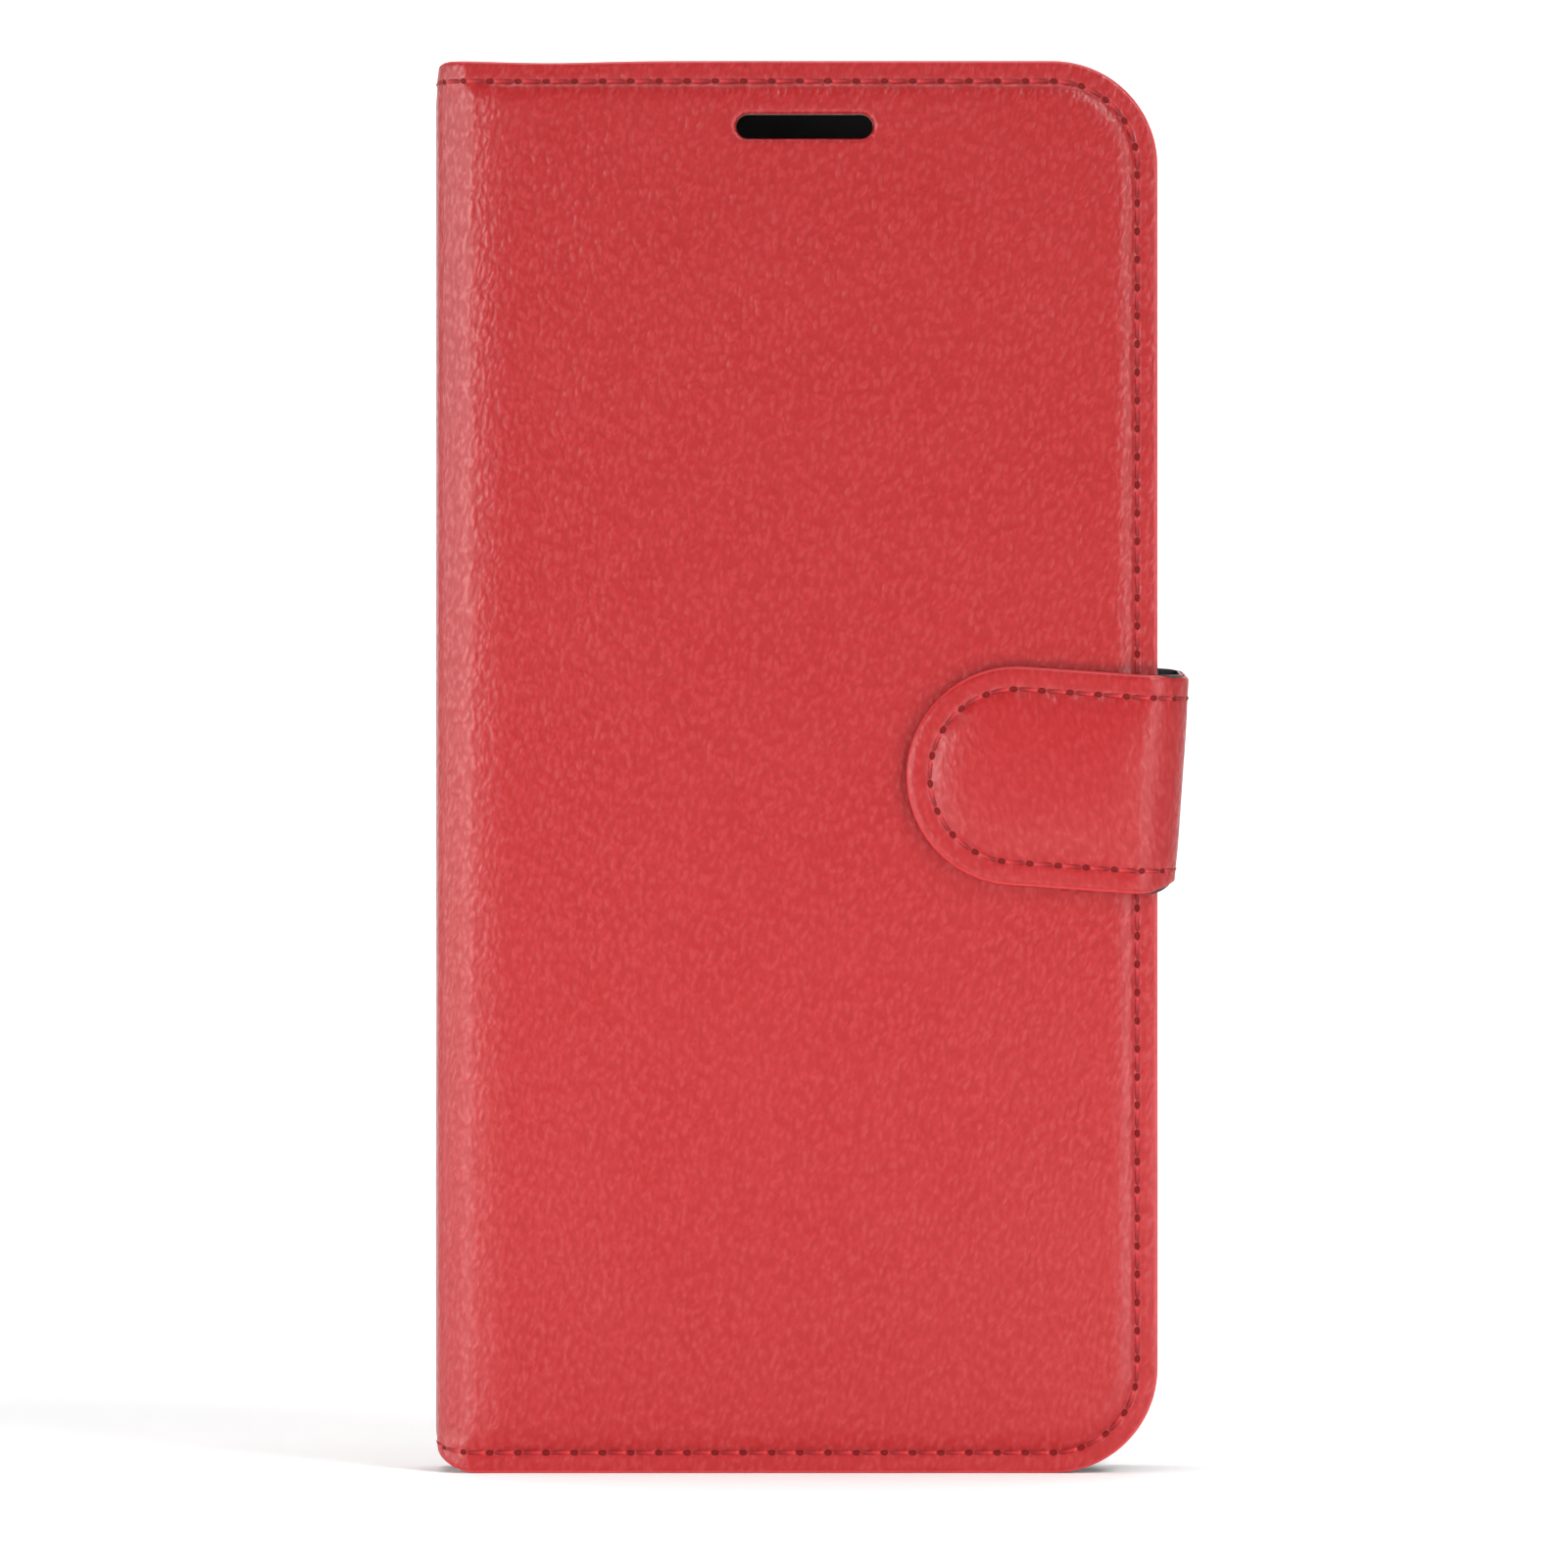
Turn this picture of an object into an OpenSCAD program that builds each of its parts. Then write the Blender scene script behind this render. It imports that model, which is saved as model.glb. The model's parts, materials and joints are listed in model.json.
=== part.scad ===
// Phone wallet case: a folding leather cover with a magnetic strap, round a moulded phone shell.
// X runs from the spine to the free edge, Y from the front cover to the back cover, and Z up the case.
// The case is closed and stands on its bottom edge, with the origin under the middle of its box.

/* [Cover] */
// Width from the spine's outer face to the free edge
case_w = 84.5; // [83.5:0.5:90]
// Height of the covers
case_h = 165; // [164:1:180]
// Radius of the covers' free corners
corner_r = 12.3; // [10:0.1:14]
// Outer radius of the two folds beside the spine
fold_r = 4.6; // [4.2:0.1:5]

/* [Laminate] */
// Thickness of the cover leather
leather_t = 0.8; // [0.7:0.1:1]
// Thickness of the stiffening boards
board_t = 1.2; // [1.1:0.1:1.4]
// Thickness of the lining
lining_t = 0.5; // [0.4:0.1:0.6]
// Depth of the stitched border below the padded face
border_drop = 0.5; // [0.3:0.1:0.6]
// Width of the stitched border
border_w = 3.2; // [3:0.1:3.6]

/* [Phone shell] */
// Width of the phone that the shell holds
phone_w = 74.4; // [72:0.2:75]
// Height of the phone that the shell holds
phone_h = 157; // [150:0.5:157.5]
// Thickness of the phone that the shell holds
phone_t = 8; // [7.5:0.1:9]
// Corner radius of the phone that the shell holds
phone_r = 9; // [7:0.5:10]
// Thickness of the shell's side wall
shell_wall = 1.2; // [1:0.1:1.4]
// Thickness of the shell's floor
shell_floor = 1; // [0.8:0.1:1.2]
// Thickness of the lip over the phone's edge
lip_t = 0.9; // [0.7:0.1:1.1]
// Reach of the lip over the phone's edge
lip_reach = 0.8; // [0.5:0.1:1]

/* [Windows] */
// Width of the sound slot in the front cover
slot_w = 16; // [12:0.5:20]
// Height of the sound slot in the front cover
slot_h = 2.9; // [2.5:0.1:3.5]
// Distance from the top edge to the middle of the sound slot
slot_drop = 7.7; // [7:0.1:9]
// Width of the camera window in the shell
camera_w = 12.5; // [10:0.5:14]
// Height of the camera window in the shell
camera_h = 29; // [24:0.5:32]
// Length of the window for the side keys
key_window_l = 42; // [30:1:46]
// Length of the window for the charging port
port_window_l = 44; // [20:1:48]
// Height of the key and port windows
window_t = 5; // [4.5:0.1:5.5]

/* [Pockets] */
// Thickness of the pocket leather
pocket_t = 0.5; // [0.4:0.1:0.6]
// Number of card pockets
card_pockets = 3; // [3:1:3]
// Width of a card pocket
card_w = 64; // [60:1:64]
// Height of the tallest card pocket above the bottom seam
card_top = 108; // [100:1:112]
// Height that each card pocket leaves showing of the one behind
card_step = 14; // [10:1:16]

/* [Strap] */
// Width of the strap
strap_w = 25.6; // [22:0.2:26]
// Length of the tongue from the free edge to its round end
strap_reach = 29.4; // [27:0.1:32]
// Height of the strap's middle at the free edge
strap_z = 80.3; // [76:0.1:84]
// Angle by which the strap lies askew
strap_skew = 4; // [0:0.1:5]
// Distance from the free edge to the strap's outer face
strap_stand_off = 3; // [2.9:0.1:3.4]
// Thickness of the strap's outer leather
strap_leather_t = 0.7; // [0.6:0.1:0.8]
// Thickness of the core inside the tongue
core_t = 1.3; // [1.2:0.1:1.5]
// Outer radius of the fold where the strap leaves the back cover
strap_rear_r = 2; // [1.9:0.1:2.1]
// Outer radius of the fold where the strap turns over the front cover
strap_front_r = 5.4; // [5:0.1:5.6]

/* [Seams] */
// Distance from one stitch to the next
stitch_pitch = 3.3; // [3:0.1:4]
// Length of one stitch
stitch_l = 2.3; // [2:0.1:2.6]
// Thickness of the thread
thread_w = 0.45; // [0.3:0.05:0.5]
// Distance from the cover's edge to its seam
seam_inset = 2.4; // [2.2:0.1:2.6]
// Distance from the strap's edge to its seam
strap_seam_inset = 2.7; // [2.6:0.1:3]

/* [Hidden] */
$fn = 48;
over = 1;

leather_red = "#ce3f41";
lining_black = "#2a2223";
thread_red = "#7d1418";
board_grey = "#8f8a80";
shell_black = "#1b1b1d";
magnet_grey = "#b4b4b8";
core_white = "#d9d7d0";

// Layers through the case, measured from the front face.
cover_t = leather_t + board_t + lining_t;
cash_y = cover_t;
card_y = cash_y + pocket_t;
cover_gap = 0.4;
shell_y = card_y + card_pockets * pocket_t + cover_gap;
shell_depth = lip_t + phone_t + shell_floor;
case_t = shell_y + shell_depth + cover_t;

// The board lies inside the raised face, and both start a little way past the fold.
board_inset = border_w + 0.7;
raised_x = fold_r + 1.4;
board_x = raised_x + 0.5;
spine_raise = 0.8;

// The shell sits clear of the spine, centred between top and bottom.
shell_x = fold_r + 0.4;
shell_w = phone_w + 2 * shell_wall;
shell_h = phone_h + 2 * shell_wall;
shell_r = phone_r + shell_wall;
shell_z = (case_h - shell_h) / 2;
phone_mid_y = shell_y + lip_t + phone_t / 2;
key_z = case_h * 0.735;
camera_x = case_w - 18.5;
camera_z = case_h - 25;
camera_margin = 1;

// The pockets hang on the inside of the front cover.
slot_x = case_w / 2 + 1;
cash_inset = 0.4;
cash_x = 13;
card_x = 14;
card_z = 13;
card_seam_inset = 1.6;
card_seam_r = 3;

// The strap's layers and folds, in its own frame.
strap_lining_t = board_t - strap_leather_t;
strap_t = strap_leather_t + strap_lining_t;
strap_tab = 10;
strap_room = 0.3;
tongue_gap = 0.3;
tongue_t = strap_leather_t + core_t + strap_lining_t;
tongue_y = -tongue_gap - tongue_t;
tongue_border_w = 3.4;
core_inset = tongue_border_w + 0.4;
strap_inner_a = strap_stand_off - strap_t;
rear_fold_a = strap_stand_off - strap_rear_r;
rear_fold_y = case_t - leather_t - strap_rear_r;
front_fold_a = strap_stand_off - strap_front_r;
front_fold_y = tongue_y + strap_front_r;
magnet_r = 6;
magnet_a = 19;

seam_proud = 0.1;
seam_x = fold_r + stitch_pitch / 2;

// The middle of the closed case's box, where the origin stands.
strap_out_x = case_w + strap_stand_off * cos(strap_skew) + strap_w / 2 * sin(strap_skew);
middle_x = strap_out_x / 2;
middle_y = (tongue_y + case_t) / 2;

// A flat sheet in the XZ plane, from depth y through t.
module sheet(y, t) translate([0, y + t, 0]) rotate([90, 0, 0]) linear_extrude(t) children();

// A flat sheet in the YZ plane, from x through t.
module side_sheet(x, t) translate([x, 0, 0]) rotate([90, 0, 90]) linear_extrude(t) children();

// Turns what is drawn for the front cover over to the back cover.
module at_back() translate([0, case_t, 0]) mirror([0, 1, 0]) children();

// The strap's own frame: its X leaves the free edge, and its Z runs across its width.
module at_strap() translate([case_w, 0, strap_z]) rotate([0, strap_skew, 0]) children();

// Moves a finished sub-part from the spine's corner to the origin.
module placed() translate([-middle_x, -middle_y, 0]) children();

// A rounded slot, its length along the first axis.
module slot_shape(l, w) {
    square([l - w, w], center = true);
    for (side = [-1, 1]) translate([side * (l - w) / 2, 0]) circle(d = w);
}

// A cover's outline, drawn in from its edges by inset, from start to the round free corners.
module leaf(inset, start) {
    r = corner_r - inset;
    edge = case_w - inset;
    translate([start, inset]) square([edge - r - start, case_h - 2 * inset]);
    translate([start, inset + r]) square([edge - start, case_h - 2 * (inset + r)]);
    for (z = [inset + r, case_h - inset - r]) translate([edge - r, z]) circle(r);
}

// The tongue's outline, drawn in by inset, from start to its round end.
module tongue_shape(inset, start) {
    r = strap_w / 2 - inset;
    end = -strap_reach + inset + r;
    translate([end, -r]) square([start - end, 2 * r]);
    translate([end, 0]) circle(r);
}

module rounded_rectangle(w, h, r) {
    translate([r, 0]) square([w - 2 * r, h]);
    translate([0, r]) square([w, h - 2 * r]);
    for (x = [r, w - r], z = [r, h - r]) translate([x, z]) circle(r);
}

// A quarter ring of the given outer radius, standing the whole height h.
module quarter_ring(r, t, h, from) rotate([0, 0, from]) rotate_extrude(angle = 90)
    translate([r - t, 0]) square([t, h]);

// A U-shaped seam: two legs, two quarter turns of radius r, and a base between them.
function u_length(leg, half, r) = 2 * leg + PI * r + 2 * (half - r);
function u_point(s, leg, half, r) =
    let (turn = PI * r / 2, base = 2 * (half - r))
    let (s2 = s - leg, s3 = s2 - turn, s4 = s3 - base, s5 = s4 - turn)
    s2 < 0 ? [s, half, 0]
    : s3 < 0 ? let (d = s2 / r * 180 / PI) [leg + r * sin(d), half - r + r * cos(d), -d]
    : s4 < 0 ? [leg + r, half - r - s3, -90]
    : s5 < 0 ? let (d = s4 / r * 180 / PI) [leg + r * cos(d), r - half - r * sin(d), -90 - d]
    : [leg - s5, -half, 180];

// One stitch, through a thickness t from depth y, centred on the origin.
module stitch(y, t) translate([-stitch_l / 2, y, -thread_w / 2]) cube([stitch_l, t, thread_w]);

module u_stitches(leg, half, r, y, t) {
    count = floor(u_length(leg, half, r) / stitch_pitch);
    pitch = u_length(leg, half, r) / count;
    for (i = [0:count - 1]) {
        p = u_point((i + 0.5) * pitch, leg, half, r);
        translate([p[0], 0, p[1]]) rotate([0, -p[2], 0]) stitch(y, t);
    }
}

// Leather over a stiffener: a stitched border, a raised face, and a recess behind for the stiffener.
module cover_leather() difference() {
    union() {
        sheet(border_drop, leather_t + board_t - border_drop) leaf(0, fold_r);
        sheet(0, border_drop) leaf(border_w, raised_x);
    }
    sheet(leather_t, board_t + over) leaf(board_inset, board_x);
}

module cover_seam(t) translate([seam_x, 0, case_h / 2])
    u_stitches(case_w - corner_r - seam_x, case_h / 2 - seam_inset, corner_r - seam_inset,
        border_drop - seam_proud, t - border_drop + 2 * seam_proud);

module sound_slot() sheet(-over, case_t / 2)
    translate([slot_x, case_h - slot_drop]) slot_shape(slot_w, slot_h);

module camera_window(margin) sheet(case_t / 2, case_t)
    translate([camera_x, camera_z]) rotate(90)
    slot_shape(camera_h + 2 * margin, camera_w + 2 * margin);

// The room that the strap's sewn end takes inside the back cover.
module strap_channel() at_strap()
    translate([-strap_tab - strap_room, case_t - leather_t - board_t, -strap_w / 2 - strap_room])
    cube([2 * strap_tab, board_t, strap_w + 2 * strap_room]);

module front_leather() color(leather_red) difference() {
    cover_leather();
    sound_slot();
}

module front_board() color(board_grey) difference() {
    sheet(leather_t, board_t) leaf(board_inset, board_x);
    sound_slot();
    at_cover_magnet() cylinder(r = magnet_r, h = case_t, center = true);
}

module at_cover_magnet() translate([case_w - magnet_a, leather_t, strap_z]) rotate([-90, 0, 0])
    children();

module cover_magnet() color(magnet_grey) at_cover_magnet() cylinder(r = magnet_r, h = board_t);

module front_lining() color(lining_black) difference() {
    sheet(leather_t + board_t, lining_t) leaf(0, fold_r);
    sound_slot();
}

module front_stitching() color(thread_red) cover_seam(cash_y + pocket_t);

module cash_pocket_panel() color(leather_red) difference() {
    sheet(cash_y, pocket_t) leaf(cash_inset, cash_x);
    sound_slot();
}

// Card pocket k lies in front of the one before it, and is a step shorter.
module card_pocket(k) color(leather_red) sheet(card_y + (k - 1) * pocket_t, pocket_t)
    translate([card_x, card_z]) difference() {
        square([card_w, card_top - (k - 1) * card_step]);
        translate([card_w / 2, card_top - (k - 1) * card_step]) slot_shape(18, 5);
    }

module pocket_stitching() color(thread_red) {
    low = card_top - (card_pockets - 1) * card_step;
    translate([card_x + card_w / 2, 0, card_z + low - stitch_pitch / 2]) rotate([0, 90, 0])
        u_stitches(low - stitch_pitch / 2 - card_seam_inset - card_seam_r,
            card_w / 2 - card_seam_inset, card_seam_r,
            cash_y - seam_proud, (card_pockets + 1) * pocket_t + 2 * seam_proud);
}

module back_leather() color(leather_red) difference() {
    at_back() cover_leather();
    camera_window(camera_margin);
    strap_channel();
}

module back_board() color(board_grey) difference() {
    at_back() sheet(leather_t, board_t) leaf(board_inset, board_x);
    camera_window(camera_margin);
    strap_channel();
}

module back_lining() color(lining_black) difference() {
    at_back() sheet(leather_t + board_t, lining_t) leaf(0, fold_r);
    camera_window(camera_margin);
}

module back_stitching() color(thread_red) at_back() cover_seam(cover_t);

// A soft tray with a lip that snaps over the phone's edge, and windows for its camera, keys and port.
module phone_shell() color(shell_black) difference() {
    translate([shell_x, 0, shell_z]) difference() {
        sheet(shell_y, shell_depth) rounded_rectangle(shell_w, shell_h, shell_r);
        translate([shell_wall, 0, shell_wall]) sheet(shell_y + lip_t, phone_t)
            rounded_rectangle(phone_w, phone_h, phone_r);
        translate([shell_wall + lip_reach, 0, shell_wall + lip_reach]) sheet(shell_y - over, phone_t)
            rounded_rectangle(phone_w - 2 * lip_reach, phone_h - 2 * lip_reach, phone_r - lip_reach);
    }
    camera_window(0);
    translate([0, phone_mid_y, key_z]) side_sheet(shell_x + shell_w / 2, shell_w)
        rotate(90) slot_shape(key_window_l, window_t);
    translate([shell_x + shell_w / 2, phone_mid_y, 0]) linear_extrude(case_h / 4)
        slot_shape(port_window_l, window_t);
}

module spine_panel(inset, end) translate([fold_r + end, inset])
    square([case_t - 2 * (fold_r + end), case_h - 2 * inset]);

module spine_leather() color(leather_red) difference() {
    union() {
        side_sheet(border_drop, leather_t + board_t - border_drop) spine_panel(0, 0);
        side_sheet(0, border_drop) spine_panel(border_w, spine_raise);
    }
    side_sheet(leather_t, board_t + over) spine_panel(board_inset, spine_raise);
}

module spine_board() color(board_grey) side_sheet(leather_t, board_t)
    spine_panel(board_inset, spine_raise);

module spine_lining() color(lining_black) side_sheet(leather_t + board_t, lining_t) spine_panel(0, 0);

module spine_stitching() color(thread_red)
    for (z = [seam_inset, case_h - seam_inset], side = [-1, 1])
        translate([0, case_t / 2 + side * stitch_pitch / 2, z]) rotate([0, 0, 90])
            mirror([0, 1, 0])
            stitch(border_drop - seam_proud, cover_t - border_drop + 2 * seam_proud);

module fold_layer(r, t) translate([fold_r, fold_r, 0]) quarter_ring(r, t, case_h, 180);

module front_fold_leather() color(leather_red) fold_layer(fold_r, leather_t);
module front_fold_lining() color(lining_black) fold_layer(fold_r - leather_t - board_t, lining_t);
module rear_fold_leather() color(leather_red) at_back() fold_layer(fold_r, leather_t);
module rear_fold_lining() color(lining_black) at_back()
    fold_layer(fold_r - leather_t - board_t, lining_t);

// A length of strap as wide as the strap is, from depth y through t, between two distances out.
module strap_strip(from, to, y, t) translate([from, y, -strap_w / 2]) cube([to - from, t, strap_w]);

module strap_fold(a, y, r, t, from) translate([a, y, -strap_w / 2])
    quarter_ring(r, t, strap_w, from);

module strap_root_leather() color(leather_red) at_strap()
    strap_strip(-strap_tab, rear_fold_a, case_t - leather_t - strap_leather_t, strap_leather_t);

module strap_root_lining() color(lining_black) at_strap()
    strap_strip(-strap_tab, rear_fold_a, case_t - leather_t - strap_t, strap_lining_t);

module strap_rear_fold_leather() color(leather_red) at_strap()
    strap_fold(rear_fold_a, rear_fold_y, strap_rear_r, strap_leather_t, 0);

module strap_rear_fold_lining() color(lining_black) at_strap()
    strap_fold(rear_fold_a, rear_fold_y, strap_rear_r - strap_leather_t, strap_lining_t, 0);

module strap_bridge_leather() color(leather_red) at_strap()
    strap_strip(strap_stand_off - strap_leather_t, strap_stand_off,
        front_fold_y, rear_fold_y - front_fold_y);

module strap_bridge_lining() color(lining_black) at_strap()
    strap_strip(strap_inner_a, strap_stand_off - strap_leather_t,
        front_fold_y, rear_fold_y - front_fold_y);

module strap_bridge_stitching() color(thread_red) at_strap() {
    count = floor((rear_fold_y - front_fold_y) / stitch_pitch);
    for (i = [0:count - 1], side = [-1, 1])
        translate([strap_inner_a, front_fold_y + (i + 0.5) * stitch_pitch,
            side * (strap_w / 2 - strap_seam_inset)])
            rotate([0, 0, 90]) mirror([0, 1, 0]) stitch(-seam_proud, strap_t + 2 * seam_proud);
}

module strap_front_fold_leather() color(leather_red) at_strap()
    strap_fold(front_fold_a, front_fold_y, strap_front_r, strap_leather_t, 270);

module strap_front_fold_lining() color(lining_black) at_strap()
    strap_fold(front_fold_a, front_fold_y, strap_front_r - strap_leather_t, strap_lining_t, 270);

module strap_tongue_leather() color(leather_red) at_strap() difference() {
    union() {
        sheet(tongue_y + border_drop, strap_leather_t + core_t - border_drop)
            tongue_shape(0, front_fold_a);
        sheet(tongue_y, border_drop) tongue_shape(tongue_border_w, front_fold_a);
    }
    sheet(tongue_y + strap_leather_t, core_t + over) tongue_shape(core_inset, front_fold_a - over);
}

module at_strap_magnet() translate([-magnet_a, tongue_y + strap_leather_t, 0])
    rotate([-90, 0, 0]) children();

module strap_tongue_core() color(core_white) at_strap() difference() {
    sheet(tongue_y + strap_leather_t, core_t) tongue_shape(core_inset, front_fold_a - over);
    at_strap_magnet() cylinder(r = magnet_r, h = case_t, center = true);
}

module strap_magnet() color(magnet_grey) at_strap() at_strap_magnet()
    cylinder(r = magnet_r, h = core_t);

module strap_tongue_lining() color(lining_black) at_strap()
    sheet(-tongue_gap - strap_lining_t, strap_lining_t) tongue_shape(0, front_fold_a);

module strap_tongue_stitching() color(thread_red) at_strap() {
    half = strap_w / 2 - strap_seam_inset;
    translate([front_fold_a, 0, 0]) mirror([1, 0, 0])
        u_stitches(strap_reach + front_fold_a - strap_w / 2, half, half,
            tongue_y + border_drop - seam_proud, tongue_t - border_drop + 2 * seam_proud);
}

placed() back_leather();
placed() back_board();
placed() back_lining();
placed() back_stitching();
placed() phone_shell();
placed() spine_leather();
placed() spine_board();
placed() spine_lining();
placed() spine_stitching();
placed() rear_fold_leather();
placed() rear_fold_lining();
placed() front_fold_leather();
placed() front_fold_lining();
placed() front_leather();
placed() front_board();
placed() front_lining();
placed() front_stitching();
placed() cover_magnet();
placed() cash_pocket_panel();
for (k = [1:card_pockets])
    placed() card_pocket(k);
placed() pocket_stitching();
placed() strap_root_leather();
placed() strap_root_lining();
placed() strap_rear_fold_leather();
placed() strap_rear_fold_lining();
placed() strap_bridge_leather();
placed() strap_bridge_lining();
placed() strap_bridge_stitching();
placed() strap_front_fold_leather();
placed() strap_front_fold_lining();
placed() strap_tongue_leather();
placed() strap_tongue_core();
placed() strap_magnet();
placed() strap_tongue_lining();
placed() strap_tongue_stitching();
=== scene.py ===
"""Looks of a folding phone wallet case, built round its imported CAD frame.

Lengths in the builders are millimetres in the row frame. A Leaf is one half of a folded sheet: it runs
from the middle of a narrow side, round a fold, to a rounded free end. The two covers and the two halves
of the strap are leaves, so leather, lining and seam come from the same functions."""

import json
import math

import bmesh
import bpy
import numpy as np
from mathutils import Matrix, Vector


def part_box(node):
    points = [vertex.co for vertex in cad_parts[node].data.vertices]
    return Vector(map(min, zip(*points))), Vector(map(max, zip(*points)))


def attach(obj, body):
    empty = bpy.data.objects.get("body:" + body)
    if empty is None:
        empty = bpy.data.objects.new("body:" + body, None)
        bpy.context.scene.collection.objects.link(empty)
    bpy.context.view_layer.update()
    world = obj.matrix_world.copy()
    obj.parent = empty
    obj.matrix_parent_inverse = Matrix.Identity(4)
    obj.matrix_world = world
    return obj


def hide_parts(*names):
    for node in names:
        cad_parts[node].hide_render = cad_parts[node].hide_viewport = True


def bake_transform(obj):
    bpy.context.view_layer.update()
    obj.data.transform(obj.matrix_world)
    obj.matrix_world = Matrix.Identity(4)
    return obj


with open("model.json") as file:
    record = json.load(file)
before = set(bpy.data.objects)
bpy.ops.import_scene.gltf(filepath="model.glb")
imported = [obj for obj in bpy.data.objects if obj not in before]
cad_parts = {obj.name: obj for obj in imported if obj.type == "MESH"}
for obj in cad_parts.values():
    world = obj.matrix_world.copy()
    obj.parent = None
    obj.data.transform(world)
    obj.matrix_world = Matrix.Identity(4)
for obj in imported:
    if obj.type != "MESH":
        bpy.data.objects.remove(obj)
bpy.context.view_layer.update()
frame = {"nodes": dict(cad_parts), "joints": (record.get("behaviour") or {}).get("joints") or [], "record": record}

MM = 0.001


def corners(node):
    low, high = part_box(node)
    return np.array(low) / MM, np.array(high) / MM


def smooth(value, start, end):
    t = np.clip((value - start) / (end - start), 0, 1)
    return t * t * (3 - 2 * t)


def bump(value, middle, width):
    return np.exp(-(((value - middle) / width) ** 2))


# Sizes that the frame gives.
front_low, front_high = corners("front_leather")
spine_low = corners("spine_leather")[0]
lining_low, lining_high = corners("front_lining")
shell_low, shell_high = corners("phone_shell")
cash_low, cash_high = corners("cash_pocket_panel")
front_y = front_low[1]
case_t = corners("back_leather")[1][1] - front_y
case_w = front_high[0] - spine_low[0]
case_h = front_high[2] - front_low[2]
fold_r = front_low[0] - spine_low[0]
leather_depth = lining_low[1] - front_y
lining_depth = lining_high[1] - front_y
pocket_t = cash_high[1] - cash_low[1]
strap_axis = np.array(next(j["axis"] for j in frame["joints"] if j["name"] == "strap_root_hinge"))
strap_out = np.array([strap_axis[2], 0, -strap_axis[0]])

# Sizes that the frame doesn't give.
corner_r = 12.3
leather_t = 0.8
seam_inset = 2.4
stitch_pitch = 3.3
stitch_part = (0.12, 0.88)
thread_r = 0.25
thread_lift = 0.15
cash_x = 13.0
cash_inset = 0.4
card_x = 14.0
card_w = 64.0
card_z = 13.0
card_tops = (121.0, 107.0, 93.0)
card_seam_inset = 1.6
card_seam_r = 3.0
card_corner_r = 2.0
card_notch = 2.5
card_notch_half = 9
card_grain_shift = 300
slot_size = (16.0, 2.9)
slot_middle = (case_w / 2 + 1, case_h - 7.7)
camera_size = (14.5, 31.0)
camera_middle = (case_w - 18.5, case_h - 25)
strap_w = 25.6
strap_z = 80.3
strap_stand_off = 3.0
strap_reach = 29.4
strap_leather_t = 0.7
strap_front_r = 5.4
strap_rear_r = 2.0
strap_seam_inset = 2.7
strap_climb = 1.1
strap_tab = 10.0
strap_lining_t = 0.5
tongue_t = 2.5
tongue_gap = 0.3
shell_r = 10.2
shell_wall = 1.2
shell_floor = 1.0
shell_edge_r = 1.2
shell_inner_r = 0.6
shell_bevel = 0.12
lip_t = 0.9
lip_reach = 0.8
phone_t = 8.0
window_w = 5.0
key_z = case_h * 0.735
key_length = 42.0
port_length = 44.0
shell_camera_size = (12.5, 29.0)


class Seam:
    """A seam at a fixed inset from a leaf's free edges: along the top, round the end and back."""

    def __init__(self, leaf, inset, pitch):
        self.leaf = leaf
        self.inset = inset
        self.r = leaf.corner_r - inset
        self.leg = leaf.end - leaf.corner_r - leaf.start
        self.turn = math.pi * self.r / 2
        self.base = leaf.height - 2 * leaf.corner_r
        self.length = 2 * self.leg + 2 * self.turn + self.base
        self.count = round(self.length / pitch)
        self.pitch = self.length / self.count

    def position(self, w, v):
        """Distance along the seam of the point nearest to each (w, v)."""
        leaf = self.leaf
        middle = leaf.end - leaf.corner_r
        p = np.maximum(w - middle, 1e-9)
        top = leaf.height - leaf.corner_r
        angle_top = np.arctan2(p, np.maximum(v - top, 1e-9))
        angle_low = np.arctan2(np.maximum(leaf.corner_r - v, 1e-9), p)
        side = self.leg + self.turn
        return np.select(
            [
                (w <= middle) & (v > leaf.height / 2),
                w <= middle,
                v > top,
                v < leaf.corner_r,
            ],
            [
                w - leaf.start,
                self.length - (w - leaf.start),
                self.leg + angle_top * self.r,
                side + self.base + angle_low * self.r,
            ],
            side + top - v,
        )

    def point(self, u, offset):
        """The point (w, v) at distance u along the seam, moved inwards by offset."""
        leaf = self.leaf
        middle = leaf.end - leaf.corner_r
        top = leaf.height - leaf.corner_r
        r = self.r - offset
        first = (u - self.leg) / self.r
        second = (u - self.leg - self.turn - self.base) / self.r
        zones = [
            u < self.leg,
            u < self.leg + self.turn,
            u < self.leg + self.turn + self.base,
            u < self.leg + 2 * self.turn + self.base,
        ]
        w = np.select(
            zones,
            [leaf.start + u, middle + r * np.sin(first), middle + r + 0 * u, middle + r * np.cos(second)],
            leaf.start + self.length - u,
        )
        v = np.select(
            zones,
            [
                top + r + 0 * u,
                top + r * np.cos(first),
                top - (u - self.leg - self.turn),
                leaf.corner_r - r * np.sin(second),
            ],
            leaf.corner_r - r,
        )
        return w, v


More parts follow.
